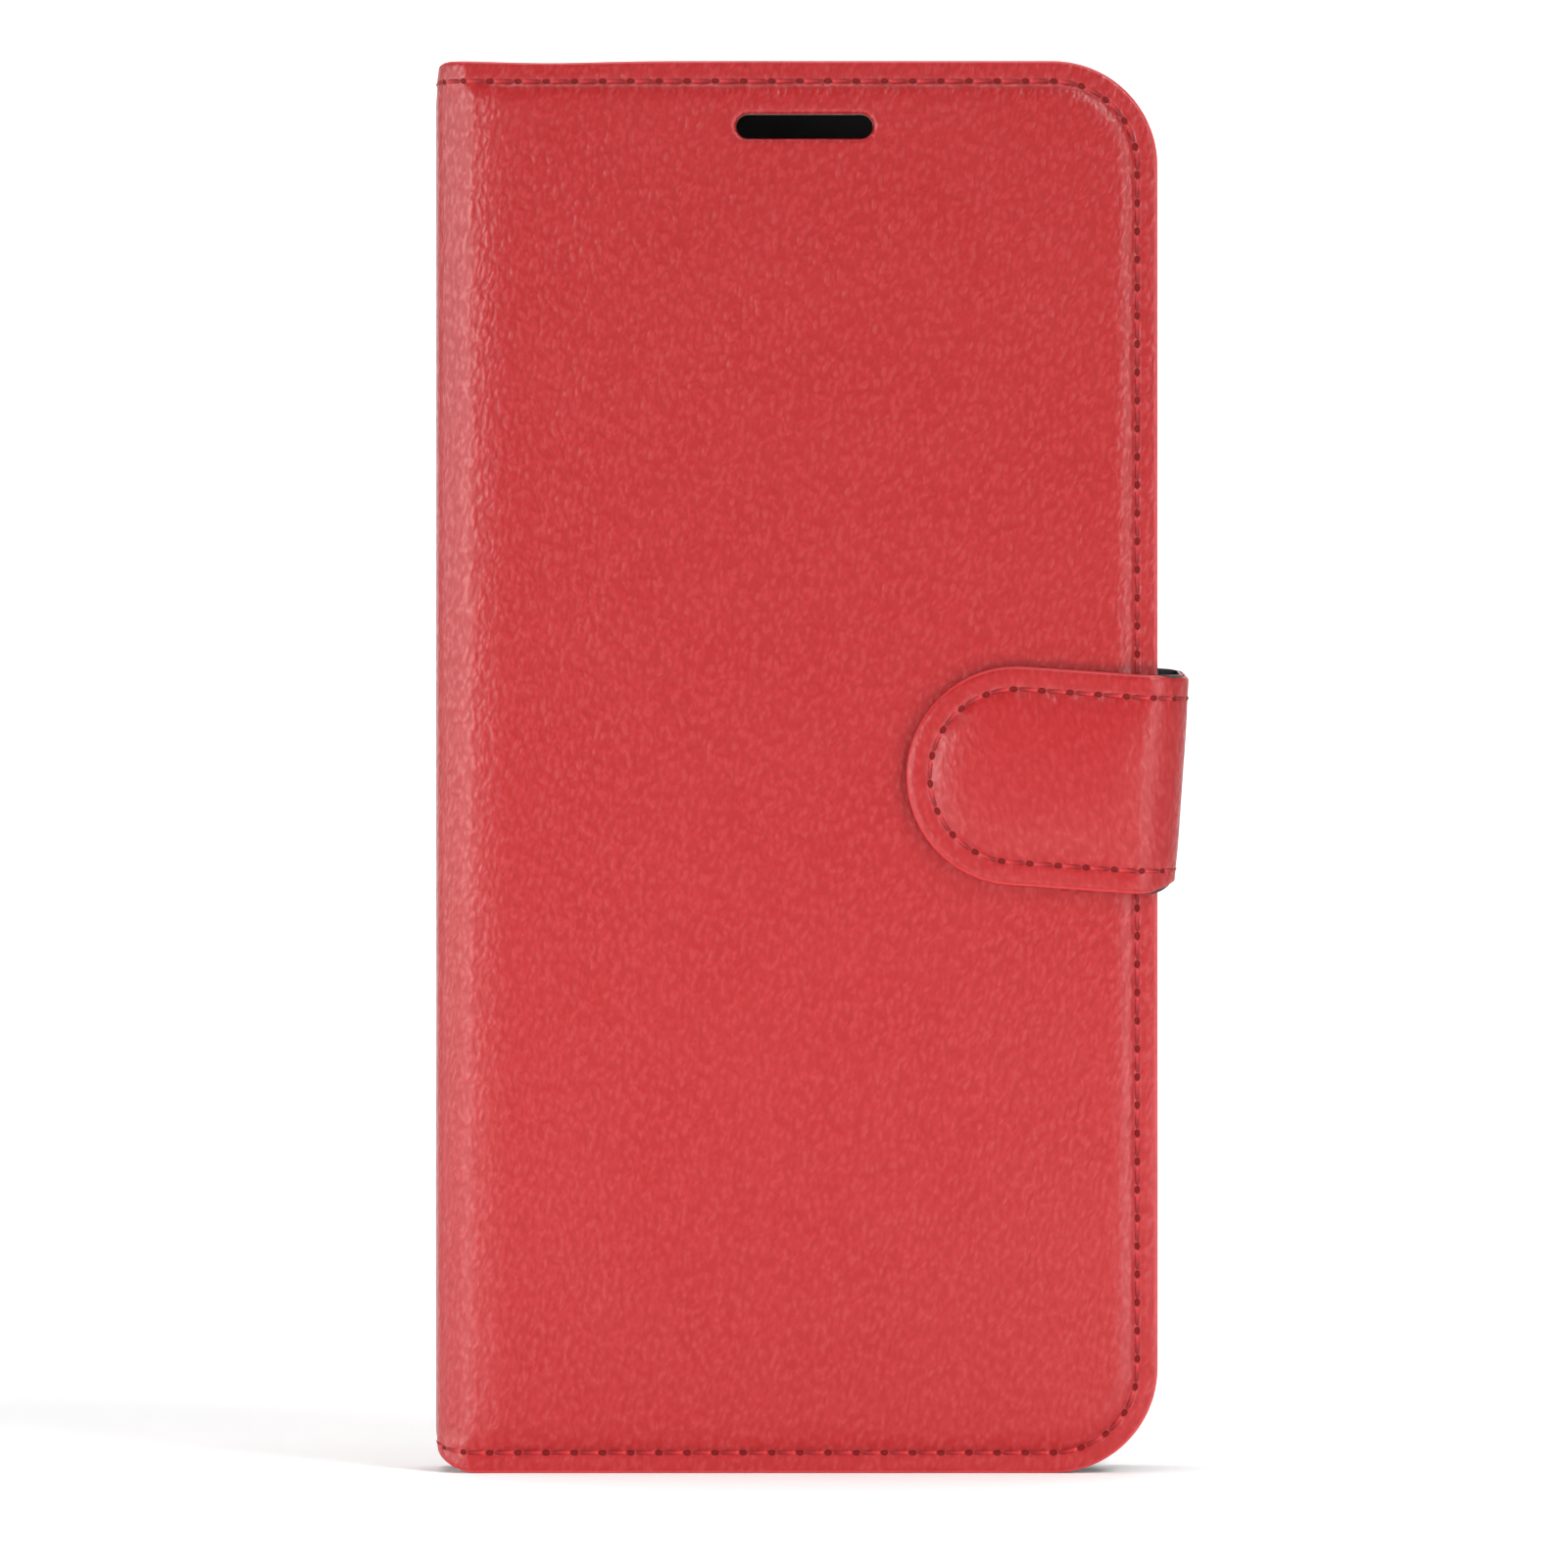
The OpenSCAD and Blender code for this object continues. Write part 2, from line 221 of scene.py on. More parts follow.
class Leaf:
    """Half of a folded sheet. Its origin is the fold's outer corner at the leaf's bottom.

    along, inward and up are directions: across the leaf, through it and up it."""

    def __init__(self, origin, along, inward, up, half, fold, end, height, corner, shift):
        self.origin = np.array(origin)
        self.along = np.array(along)
        self.inward = np.array(inward)
        self.up = np.array(up)
        self.fold = fold
        self.bend_start = fold * (1 - math.pi / 2)
        self.start = self.bend_start - half
        self.end = end
        self.height = height
        self.corner_r = corner
        self.shift = shift

    def place(self, w, v, depth):
        """Points at w across the leaf and v up it, at a depth below the outer face."""
        angle = np.clip((w - self.bend_start) / self.fold, 0, math.pi / 2)
        reach = self.fold - depth
        x = self.fold - reach * np.cos(angle) + np.maximum(w - self.fold, 0)
        y = self.fold - reach * np.sin(angle) + np.maximum(self.bend_start - w, 0)
        v = v + self.shift(self, w, v)
        return (
            self.origin
            + x[..., None] * self.along
            + y[..., None] * self.inward
            + v[..., None] * self.up
        )

    def blend(self, piece, still, moving):
        start = self.place(np.array(self.bend_start), np.array(self.height / 2), np.array(0.0))
        end = self.place(np.array(self.fold), np.array(self.height / 2), np.array(0.0))
        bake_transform(piece)


def spine_end_shift(leaf, w, v):
    """The spine's ends curl in, so the outline is rounded there: more at the bottom than at the top."""
    x = leaf_x(leaf, w)
    reach = 1 - np.clip(x / 5.2, 0, 1)
    curve = 1 - np.sqrt(1 - reach**2)
    low = 2.7 * curve * np.clip(1 - v / 6, 0, 1) ** 2
    tip = np.clip(reach * 4 - 3, 0, 1)
    top = 0.3 * (1 - np.sqrt(1 - tip**2)) + 0.25 * bump(x, 13.5, 8)
    return low - top * np.clip(1 - (leaf.height - v) / 3, 0, 1)


def leaf_x(leaf, w):
    """How far from the fold's outer corner a point on the outer face lies, along the leaf."""
    angle = np.clip((w - leaf.bend_start) / leaf.fold, 0, math.pi / 2)
    return leaf.fold - leaf.fold * np.cos(angle) + np.maximum(w - leaf.fold, 0)


def tongue_shift(leaf, w, v):
    """The strap climbs a little on its way to the back: half of it before the middle of its bridge."""
    climb = strap_climb / 2 * np.clip((leaf.fold - w) / (leaf.fold - leaf.start), 0, 1)
    return climb + 1.2 * smooth(-w, -3.0, 3.0) * np.clip(1 - v / 3.2, 0, 1)


def root_shift(leaf, w, v):
    climb = strap_climb / 2 * (1 + np.clip((w - leaf.start) / (leaf.fold - leaf.start), 0, 1))
    return climb + 1.2 * np.clip(1 - v / 3.2, 0, 1)


outer_corner = np.array([spine_low[0], front_y, front_low[2]])
spine_half = case_t / 2 - fold_r
front_leaf = Leaf(outer_corner, (1, 0, 0), (0, 1, 0), (0, 0, 1),
                  spine_half, fold_r, case_w, case_h, corner_r, spine_end_shift)
back_leaf = Leaf(outer_corner + np.array([0, case_t, 0]), (1, 0, 0), (0, -1, 0), (0, 0, 1),
                 spine_half, fold_r, case_w, case_h, corner_r, spine_end_shift)

strap_foot = np.array([front_high[0], front_y, front_low[2] + strap_z])
strap_corner = strap_foot + strap_stand_off * strap_out - strap_w / 2 * strap_axis
tongue_y = -tongue_gap - tongue_t
root_y = case_t - leather_t
bridge_half = (root_y - strap_rear_r - tongue_y - strap_front_r) / 2
tongue_leaf = Leaf(strap_corner + np.array([0, tongue_y, 0]), -strap_out, (0, 1, 0), strap_axis,
                   bridge_half, strap_front_r, strap_reach + strap_stand_off, strap_w, strap_w / 2,
                   tongue_shift)
root_leaf = Leaf(strap_corner + np.array([0, root_y, 0]), -strap_out, (0, -1, 0), strap_axis,
                 bridge_half, strap_rear_r, strap_tab + strap_stand_off, strap_w, 3.4, root_shift)


# A distance that stands for "nowhere near", where a leaf has no hole.
FAR = 99.0

# Grid lines: their distances from a free edge and from a hole's edge.
RIM = np.array([0, 0.05, 0.15, 0.3, 0.5, 0.9, 1.4, 1.85, 2.1, 2.3, 2.5, 2.7, 2.9,
                3.15, 3.5, 4.0, 4.7, 5.5])
LIP = np.array([0, 0.06, 0.18, 0.36, 0.6, 1.0, 1.5, 2.1])
COVER_STEP = 0.83
STRAP_STEP = 0.6
LINING_STEP = 1.6


def even(start, end, step):
    return np.linspace(start, end, max(2, round(abs(end - start) / step) + 1))


def join(*stretches):
    return np.unique(np.round(np.concatenate(stretches), 5))


def across_lines(leaf, rim, inset=0.0, start=None, step=COVER_STEP):
    inner = leaf.end - inset - rim[-1]
    if start is not None:
        return join(start + rim, even(start + rim[-1], inner, step), inner + rim[-1] - rim)
    crease = min(leaf.fold + 4, inner)
    return join(
        even(leaf.start, leaf.bend_start, 0.7),
        even(leaf.bend_start, leaf.fold, 0.4),
        even(leaf.fold, crease, 0.45),
        even(crease, inner, step),
        inner + rim[-1] - rim,
    )


def up_lines(leaf, rim, inset=0.0, step=COVER_STEP):
    low = inset + rim
    high = leaf.height - inset - rim
    return join(low, even(low[-1], high[-1], step), high)


def with_hole(lines, middle, half, cap, count):
    """Lines with a band that ends on a hole's two sides, and closer lines in its round ends."""
    reach = half + LIP[-1]
    kept = lines[np.abs(lines - middle) > reach + 0.1]
    ends = np.linspace(half - cap, half, count)
    straight = even(0, half - cap, 1.0) if half > cap else np.array([0.0])
    offsets = np.concatenate([half + LIP, ends, straight])
    return join(kept, middle + offsets, middle - offsets)


class Hole:
    """A hole with round ends through a leaf, long and wide along its two directions."""

    def __init__(self, middle, size, margin=5.0):
        self.middle = middle
        self.half = (size[0] / 2, size[1] / 2)
        self.cap = min(self.half)
        self.margin = margin

    def lines(self, ws, vs):
        count = 7
        return (
            with_hole(ws, self.middle[0], self.half[0], self.cap, count),
            with_hole(vs, self.middle[1], self.half[1], self.cap, count),
        )

    def distance(self, w, v):
        return np.maximum(
            np.abs(w - self.middle[0]) - self.half[0], np.abs(v - self.middle[1]) - self.half[1]
        )

    def inside(self, w, v):
        return self.distance(w, v) < -1e-4

    def warp(self, w, v):
        """Draws the grid's rectangle round the hole in to its round ends."""
        local = [w - self.middle[0], v - self.middle[1]]
        near = [np.clip(a, -h, h) for a, h in zip(local, self.half)]
        past = [np.sign(a) * np.maximum(np.abs(a) - (h - self.cap), 0) for a, h in zip(near, self.half)]
        length = np.hypot(*past)
        square = np.maximum(np.abs(past[0]), np.abs(past[1]))
        scale = np.where(length > 1e-9, square / np.maximum(length, 1e-9), 1)
        fade = 1 - smooth(self.distance(w, v), 0, self.margin)
        return tuple(a + q * (scale - 1) * fade for a, q in zip((w, v), past))


def round_corners(leaf, w, v):
    """Concentric squares in the leaf's two free corners become concentric arcs."""
    p = w - (leaf.end - leaf.corner_r)
    q = np.maximum(leaf.corner_r - v, v - (leaf.height - leaf.corner_r))
    inside = (p > 0) & (q > 0)
    scale = np.where(inside, np.maximum(p, q) / np.maximum(np.hypot(p, q), 1e-9), 1)
    side = np.where(v < leaf.height / 2, leaf.corner_r, leaf.height - leaf.corner_r)
    return (
        np.where(inside, leaf.end - leaf.corner_r + p * scale, w),
        np.where(inside, side + (v - side) * scale, v),
    )


def closed_mesh(name, top, bottom, keep, attributes):
    """A closed slab between two grids of points. keep says which cells exist."""
    rows, columns = top.shape[:2]
    count = rows * columns
    index = np.arange(count).reshape(rows, columns)
    a, b, c, d = index[:-1, :-1], index[1:, :-1], index[1:, 1:], index[:-1, 1:]
    upper = np.stack([a, b, c, d], -1)[keep]
    lower = np.stack([d, c, b, a], -1)[keep] + count
    padded = np.pad(keep, 1)
    walls = []
    for (first, second), shifted in (
        ((a, b), padded[1:-1, :-2]),
        ((b, c), padded[2:, 1:-1]),
        ((c, d), padded[1:-1, 2:]),
        ((d, a), padded[:-2, 1:-1]),
    ):
        border = keep & ~shifted
        p, q = first[border], second[border]
        walls.append(np.stack([q, p, p + count, q + count], -1))
    faces = np.concatenate([upper, lower, *walls])
    points = np.concatenate([top.reshape(-1, 3), bottom.reshape(-1, 3)])
    used, faces = np.unique(faces, return_inverse=True)
    faces = faces.reshape(-1, 4)
    mesh = bpy.data.meshes.new(name)
    mesh.from_pydata((points[used] * MM).tolist(), [], faces.tolist())
    for label, values in attributes.items():
        both = np.concatenate([values[0].reshape(-1, 3), values[1].reshape(-1, 3)])[used]
        layer = mesh.attributes.new(label, "FLOAT_VECTOR", "POINT")
        layer.data.foreach_set("vector", both.astype(np.float32).ravel())
    return finish_mesh(name, mesh)


def finish_mesh(name, mesh, sharp=50):
    mesh.validate()
    piece = bpy.data.objects.new(name, mesh)
    bpy.context.scene.collection.objects.link(piece)
    for polygon in mesh.polygons:
        polygon.use_smooth = True
    mesh.set_sharp_from_angle(angle=math.radians(sharp))
    if signed_volume(mesh) < 0:
        mesh.flip_normals()
    mesh.update()
    return piece


def signed_volume(mesh):
    mesh.calc_loop_triangles()
    points = np.zeros(len(mesh.vertices) * 3)
    mesh.vertices.foreach_get("co", points)
    points = points.reshape(-1, 3)
    triangles = np.zeros(len(mesh.loop_triangles) * 3, np.int32)
    mesh.loop_triangles.foreach_get("vertices", triangles)
    p, q, r = points[triangles.reshape(-1, 3)].transpose(1, 0, 2)
    return np.einsum("ij,ij->i", p, np.cross(q, r)).sum()


def edge_round(distance, radius):
    t = np.clip(1 - distance / radius, 0, 1)
    return radius * (1 - np.sqrt(1 - t * t))


def shoulder(distance, drop, start, width):
    """The padded face's edge: steep beside the seam, and level at the top."""
    t = 0.88 * (1 - np.clip((distance - start) / width, 0, 1))
    return drop * (1 - np.sqrt(1 - t * t)) / (1 - math.sqrt(1 - 0.88**2))


class Skin:
    """The grid of one layer of a leaf: its points on the leaf, and their distance from its edges."""

    def __init__(self, leaf, seam, rim=RIM, inset=0.0, start=None, hole=None, step=COVER_STEP):
        ws = across_lines(leaf, rim, inset, start, step)
        vs = up_lines(leaf, rim, inset, step)
        if hole:
            ws, vs = hole.lines(ws, vs)
        w, v = np.meshgrid(ws, vs, indexing="ij")
        self.leaf = leaf
        self.seam = seam
        self.free = np.minimum(leaf.end - inset - w, np.minimum(v - inset, leaf.height - inset - v))
        if start is not None:
            self.free = np.minimum(self.free, w - start)
        self.edge = self.free + inset
        self.lip = hole.distance(w, v) if hole else np.full_like(w, FAR)
        middle_w = (w[1:, 1:] + w[:-1, :-1]) / 2
        middle_v = (v[1:, 1:] + v[:-1, :-1]) / 2
        self.keep = ~hole.inside(middle_w, middle_v) if hole else np.ones_like(middle_w, bool)
        if hole:
            w, v = hole.warp(w, v)
        self.w, self.v = round_corners(leaf, w, v)
        self.u = seam.position(self.w, self.v)

    def mesh(self, name, top, bottom):
        grain = [np.stack([self.w, self.v, depth + 0 * self.w], -1) for depth in (top, bottom)]
        along = np.stack([self.u / self.seam.pitch, self.edge - self.seam.inset, self.free], -1)
        return closed_mesh(
            name,
            self.leaf.place(self.w, self.v, top),
            self.leaf.place(self.w, self.v, bottom),
            self.keep,
            {"grain": grain, "seam": (along, along)},
        )


def roll_off(w):
    """How far the face sinks towards a fold: the most on the fold, and nothing 10 mm along."""
    t = np.clip((w - 1) / 9, 0, 1)
    return (1 - t) ** 3 * (1 + 3 * t) * smooth(w, -5, 1.5)


# How far the stitched border lies below the padded face, and how deep the seam is pressed in.
COVER_DROP = 0.75
GROOVE = 0.16


def cover_face(skin):
    w, v, edge = skin.w, skin.v, skin.edge
    flat = 0.2 + 0.8 * smooth(w, 1, 9)
    depth = shoulder(edge, COVER_DROP * flat, 2.7, 2.5) + edge_round(skin.free, 0.45)
    depth += GROOVE * flat * bump(edge, seam_inset, 0.36)
    depth -= 0.22 * smooth(edge, 4, 24) * smooth(w, 7, 24)
    depth += 0.9 * roll_off(w) * (0.3 + 0.7 * smooth(edge, 1, 5))
    depth += (0.05 + 0.15 * smooth(v, 8, 30)) * np.clip(1 - edge / 2.4, 0, 1)
    depth += 0.16 * bump(w, skin.leaf.bend_start - 1.2, 0.8) * smooth(edge, 2.2, 5)
    depth += edge_round(skin.lip, 0.6)
    depth -= 0.07 * np.cos(2 * math.pi * skin.u / skin.seam.pitch) * bump(edge, seam_inset, 0.9)
    depth += 0.035 * np.sin(w / 7.3 + 0.6) * np.sin(v / 11.7) * smooth(edge, 4, 10)
    return depth


def cover_lining_depth(w):
    return leather_depth + 0 * w


def strap_lining_depth(w):
    """The tongue has a core between its layers, and the strap's other stretches don't."""
    return strap_leather_t + (tongue_t - strap_lining_t - strap_leather_t) * smooth(w, 1.0, 10.0)


def tab_lining_depth(w):
    return strap_leather_t + 0 * w


def leather_back(skin, thickness, full, board_inset, board_start):
    """The leather's inner face: against the lining in the border, and against the board inside it."""
    over_board = smooth(skin.edge, board_inset, board_inset + 0.35)
    in_fold = smooth(skin.w, board_start, board_start + 0.3) + smooth(-skin.w, 0.6, 1.0)
    return full - (full - thickness) * over_board * np.clip(in_fold, 0, 1) - 0.01


def back_face(skin):
    """The back cover also swells over the strap's sewn end."""
    depth = cover_face(skin)
    middle = strap_z + strap_climb
    tab = smooth(skin.w, case_w - strap_tab - 2, case_w - strap_tab + 1)
    across = 1 - smooth(np.abs(skin.v - middle), strap_w / 2 - 1.5, strap_w / 2 + 1.0)
    return depth - 0.3 * tab * across * smooth(skin.edge, 2.6, 4)


STRAP_DROP = 0.75


def tongue_face(skin):
    edge = skin.edge
    flat = smooth(skin.w, 2, 10)
    if skin.leaf is root_leaf:
        flat = 0 * flat
    depth = shoulder(edge, STRAP_DROP * (0.12 + 0.88 * flat), 2.95, 4.4) + edge_round(skin.free, 0.75)
    depth += 0.14 * (0.4 + 0.6 * flat) * bump(edge, strap_seam_inset, 0.36)
    depth -= 0.3 * flat * smooth(edge, 4, 11)
    if skin.leaf is tongue_leaf:
        depth += 0.5 * roll_off(skin.w)
    depth -= 0.06 * np.cos(2 * math.pi * skin.u / skin.seam.pitch) * bump(edge, strap_seam_inset, 0.9)
    return depth


def build_leaf(name, leaf, seam, face, layers, hole, bodies, replaced):
    """Leather, lining and seam of one leaf."""
    depth_at, lining_t, thickness, board_inset, board_start = layers
    skin = Skin(leaf, seam, hole=hole, step=STRAP_STEP if leaf.height == strap_w else COVER_STEP)
    outer = face(skin)
    full = depth_at(skin.w)
    inner = leather_back(skin, thickness, full, board_inset, board_start)
    inner = np.maximum(inner, outer + 0.35)
    made = [
        (skin.mesh(name + "_leather_skin", outer, inner), "leather", replaced[0]),
        (lining_mesh(name + "_lining_skin", leaf, seam, depth_at, lining_t, hole), "lining", replaced[1]),
        (stitches(name + "_stitches", skin, face, depth_at, lining_t), "thread", replaced[2]),
    ]
    for piece, slot_name, nodes in made:
        leaf.blend(piece, *bodies)
        dress(piece, slot_name, nodes)


def dress(piece, slot_name, nodes):
    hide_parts(*nodes)
    piece.data.materials.append(materials[slot_name])


def lining_mesh(name, leaf, seam, depth_at, lining_t, hole):
    skin = Skin(leaf, seam, hole=hole, step=LINING_STEP)
    outer = depth_at(skin.w)
    inner = outer + lining_t - edge_round(skin.free, 0.3) - edge_round(skin.lip, 0.3)
    return skin.mesh(name, outer, inner)


def thread_rings():
    """The rings along one stitch, the angles round it, and each ring's place from -1 to 1."""
    first, last = stitch_part
    rings = np.linspace(first, last, 9)
    sides = np.linspace(0, 2 * math.pi, 9)[:-1]
    return rings, sides, 2 * (rings - first) / (last - first) - 1


def stitches(name, skin, face, depth_at, lining_t):
    """One short thread for each stitch on the outer face, and one on the inner face."""
    seam = skin.seam
    rings, sides, from_middle = thread_rings()
    starts = np.arange(seam.count)
    u = (starts[:, None, None] + rings[None, :, None]) * seam.pitch + 0 * sides
    taper = np.sqrt(1 - from_middle**8 * 0.75)[None, :, None]
    arch = 0.22 * from_middle**4
    offset = thread_r * taper * np.cos(sides) + 0 * u
    lift = thread_lift * taper * np.sin(sides) + 0 * u
    w, v = seam.point(u, offset)
    groove = face(SeamPoints(skin, w, v, u, offset))
    outer = skin.leaf.place(w, v, groove - 0.05 + arch[None, :, None] + lift)
    under = depth_at(w) + lining_t
    inner = skin.leaf.place(w, v, under + 0.02 - arch[None, :, None] + lift)
    return tubes(name, np.concatenate([outer, inner]))


class SeamPoints:
    """Points along a seam, in the form that a face function reads."""

    def __init__(self, skin, w, v, u, offset):
        self.leaf = skin.leaf
        self.seam = skin.seam
        self.w = w
        self.v = v
        self.u = u
        self.edge = skin.seam.inset + 0 * offset
        self.free = self.edge
        self.lip = np.full_like(w, FAR)


def tubes(name, points):
    """One closed mesh for each of many short tubes, points[tube, ring, side]."""
    count, rings, sides = points.shape[:3]
    index = np.arange(count * rings * sides).reshape(count, rings, sides)
    turned = np.roll(index, -1, 2)
    walls = np.stack([index[:, :-1], turned[:, :-1], turned[:, 1:], index[:, 1:]], -1).reshape(-1, 4)
    caps = np.concatenate([index[:, 0, ::-1], index[:, -1]])
    mesh = bpy.data.meshes.new(name)
    mesh.from_pydata((points.reshape(-1, 3) * MM).tolist(), [], walls.tolist() + caps.tolist())
    ring, side = np.meshgrid(np.linspace(0, 1, rings), np.linspace(0, 1, sides), indexing="ij")
    turn = np.cos(2 * math.pi * (side - ring * 3))
    layer = mesh.attributes.new("thread", "FLOAT_VECTOR", "POINT")
    values = np.broadcast_to(np.stack([ring, turn, 0 * ring], -1), points.shape)
    layer.data.foreach_set("vector", values.astype(np.float32).ravel())
    return finish_mesh(name, mesh, sharp=80)


def card_surface(w, v, low, high, notch):
    """Draws the top edge of a card pocket down into its thumb notch."""
    middle = (low[0] + high[0]) / 2
    dip = notch * np.sqrt(np.clip(1 - ((w - middle) / card_notch_half) ** 2, 0, 1))
    return v - dip * smooth(v, high[1] - 6, high[1])


def pocket_plate(name, low, high, depth, thickness, notch, corner, step=1.0):
    """A thin panel inside the front cover, with rounded edges and a line pressed along its top."""
    rim = np.array([0, 0.05, 0.14, 0.28, 0.5, 0.9, 1.3, 1.6, 1.9, 2.3, 3.0])
    ws = join(low[0] + rim, even(low[0] + rim[-1], high[0] - rim[-1], step), high[0] - rim)
    vs = join(low[1] + rim, even(low[1] + rim[-1], high[1] - rim[-1], step), high[1] - rim)
    w, v = np.meshgrid(ws, vs, indexing="ij")
    top = high[1] - v
    edge = np.minimum(np.minimum(w - low[0], high[0] - w), np.minimum(v - low[1], top))
    p = np.maximum(low[0] + corner - w, w - high[0] + corner)
    q = low[1] + corner - v
    near = (p > 0) & (q > 0)
    scale = np.where(near, np.maximum(p, q) / np.maximum(np.hypot(p, q), 1e-9), 1)
    middle = (low[0] + high[0]) / 2
    side = np.where(w < middle, low[0] + corner, high[0] - corner)
    w = np.where(near, side + (w - side) * scale, w)
    v = np.where(near, low[1] + corner + (v - low[1] - corner) * scale, v)
    v = card_surface(w, v, low, high, notch)
    swell = 0.14 * smooth(edge, 2, 16) * smooth(top, 0, 10)
    swell += 0.16 * bump(w, middle, 20) * (1 - smooth(top, 0, 12))
    pressed = 0.10 * bump(top, 1.6, 0.22) * smooth(w, low[0] + 2, low[0] + 3)
    seat = 0.09 * bump(edge, card_seam_inset, 0.35) * smooth(top, 0, 1)
    inner = depth + thickness + swell - pressed - seat - edge_round(edge, 0.22)
    outer = depth + 0 * w
    grain = [np.stack([w + card_grain_shift, v, d], -1) for d in (outer, inner)]
    plain = np.stack([0 * w, 0 * w + 9, edge], -1)
    keep = np.ones((w.shape[0] - 1, w.shape[1] - 1), bool)
    return closed_mesh(name, front_leaf.place(w, v, outer), front_leaf.place(w, v, inner), keep,
                       {"grain": grain, "seam": (plain, plain)})


def cash_panel():
    """The panel behind the card pockets, open towards the spine."""
    skin = Skin(front_leaf, front_seam, inset=cash_inset, start=cash_x, hole=slot, step=LINING_STEP)
    inner = lining_depth + pocket_t - edge_round(skin.free, 0.22) - edge_round(skin.lip, 0.2)
    inner -= 0.1 * bump(skin.w, cash_x + 1.8, 0.22) + 0.08 * bump(skin.edge, seam_inset, 0.4)
    return skin.mesh("cash_panel", lining_depth + 0 * skin.w, inner)


def pocket_stitches():
    """The card pockets' seam runs down one side, along the bottom and up the other side."""
    low = card_z + card_seam_inset
    left = card_x + card_seam_inset
    right = card_x + card_w - card_seam_inset
    leg = card_tops[0] - stitch_pitch / 2 - low - card_seam_r
    turn = math.pi * card_seam_r / 2
    base = right - left - 2 * card_seam_r
    length = 2 * (leg + turn) + base
    count = round(length / stitch_pitch)
    rings, sides, from_middle = thread_rings()
    u = (np.arange(count)[:, None, None] + rings[None, :, None]) * length / count + 0 * sides
    offset = thread_r * np.cos(sides) + 0 * u
    r = card_seam_r - offset
    first = (u - leg) / card_seam_r
    second = (u - leg - turn - base) / card_seam_r
    zones = [u < leg, u < leg + turn, u < leg + turn + base, u < leg + 2 * turn + base]
    w = np.select(zones, [left + offset, left + card_seam_r - r * np.cos(first),
                          left + card_seam_r + u - leg - turn, right - card_seam_r + r * np.sin(second)],
                  right - offset)
    v = np.select(zones, [low + card_seam_r + leg - u, low + card_seam_r - r * np.sin(first),
                          low + offset, low + card_seam_r - r * np.cos(second)],
                  low + card_seam_r + u - leg - 2 * turn - base)
    layers = 1 + sum((v < top).astype(float) for top in card_tops)
    middle = layers.mean((1, 2), keepdims=True)
    arch = 0.2 * from_middle**4
    depth = lining_depth + pocket_t * np.round(middle) - arch[None, :, None]
    return tubes("pocket_stitches", front_leaf.place(w, v, depth + thread_lift * np.sin(sides)))


def build_pockets():
    made = [(cash_panel(), "leather", "cash_pocket_panel")]
    for k, top in enumerate(card_tops):
        depth = lining_depth + pocket_t * (k + 1)
        plate = pocket_plate("card_pocket_skin_" + str(k + 1), (card_x, card_z), (card_x + card_w, top),
                             depth, pocket_t, card_notch, card_corner_r)
        made.append((plate, "leather", "card_pocket_" + str(k + 1)))
    made.append((pocket_stitches(), "thread", "pocket_stitching"))
    for piece, slot_name, node in made:
        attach(piece, "front_cover")
        dress(piece, slot_name, [node])


def arc(middle, radius, start, end, count=5):
    """Points round a middle, in pairs of inset and depth."""
    angles = np.radians(np.linspace(start, end, count))
    return np.stack([middle[0] + radius * np.cos(angles), middle[1] + radius * np.sin(angles)], -1)


def slot_cutter(middle, along, across, through, length, width, depth):
    """A long block with round ends, for cutting a window."""
    turns = np.radians(np.concatenate([np.linspace(-90, 90, 13), np.linspace(90, 270, 13)]))
    shift = np.repeat([1, -1], 13) * (length - width) / 2
    flat = (np.outer(shift + width / 2 * np.cos(turns), along)
            + np.outer(width / 2 * np.sin(turns), across) + middle)
    half = depth / 2 * np.array(through)
    points = np.concatenate([flat - half, flat + half])
    count = len(flat)
    faces = [list(range(count)), list(range(count, 2 * count))[::-1]]
    faces += [[i, i + count, (i + 1) % count + count, (i + 1) % count] for i in range(count)]
    mesh = bpy.data.meshes.new("cutter")
    mesh.from_pydata((points * MM).tolist(), [], faces)
    return outward("cutter", mesh)


def outward(name, mesh):
    """Links a closed mesh, with its faces turned outward."""
    shape = bmesh.new()
    shape.from_mesh(mesh)
    bmesh.ops.recalc_face_normals(shape, faces=shape.faces)
    shape.to_mesh(mesh)
    shape.free()
    piece = bpy.data.objects.new(name, mesh)
    bpy.context.scene.collection.objects.link(piece)
    return piece


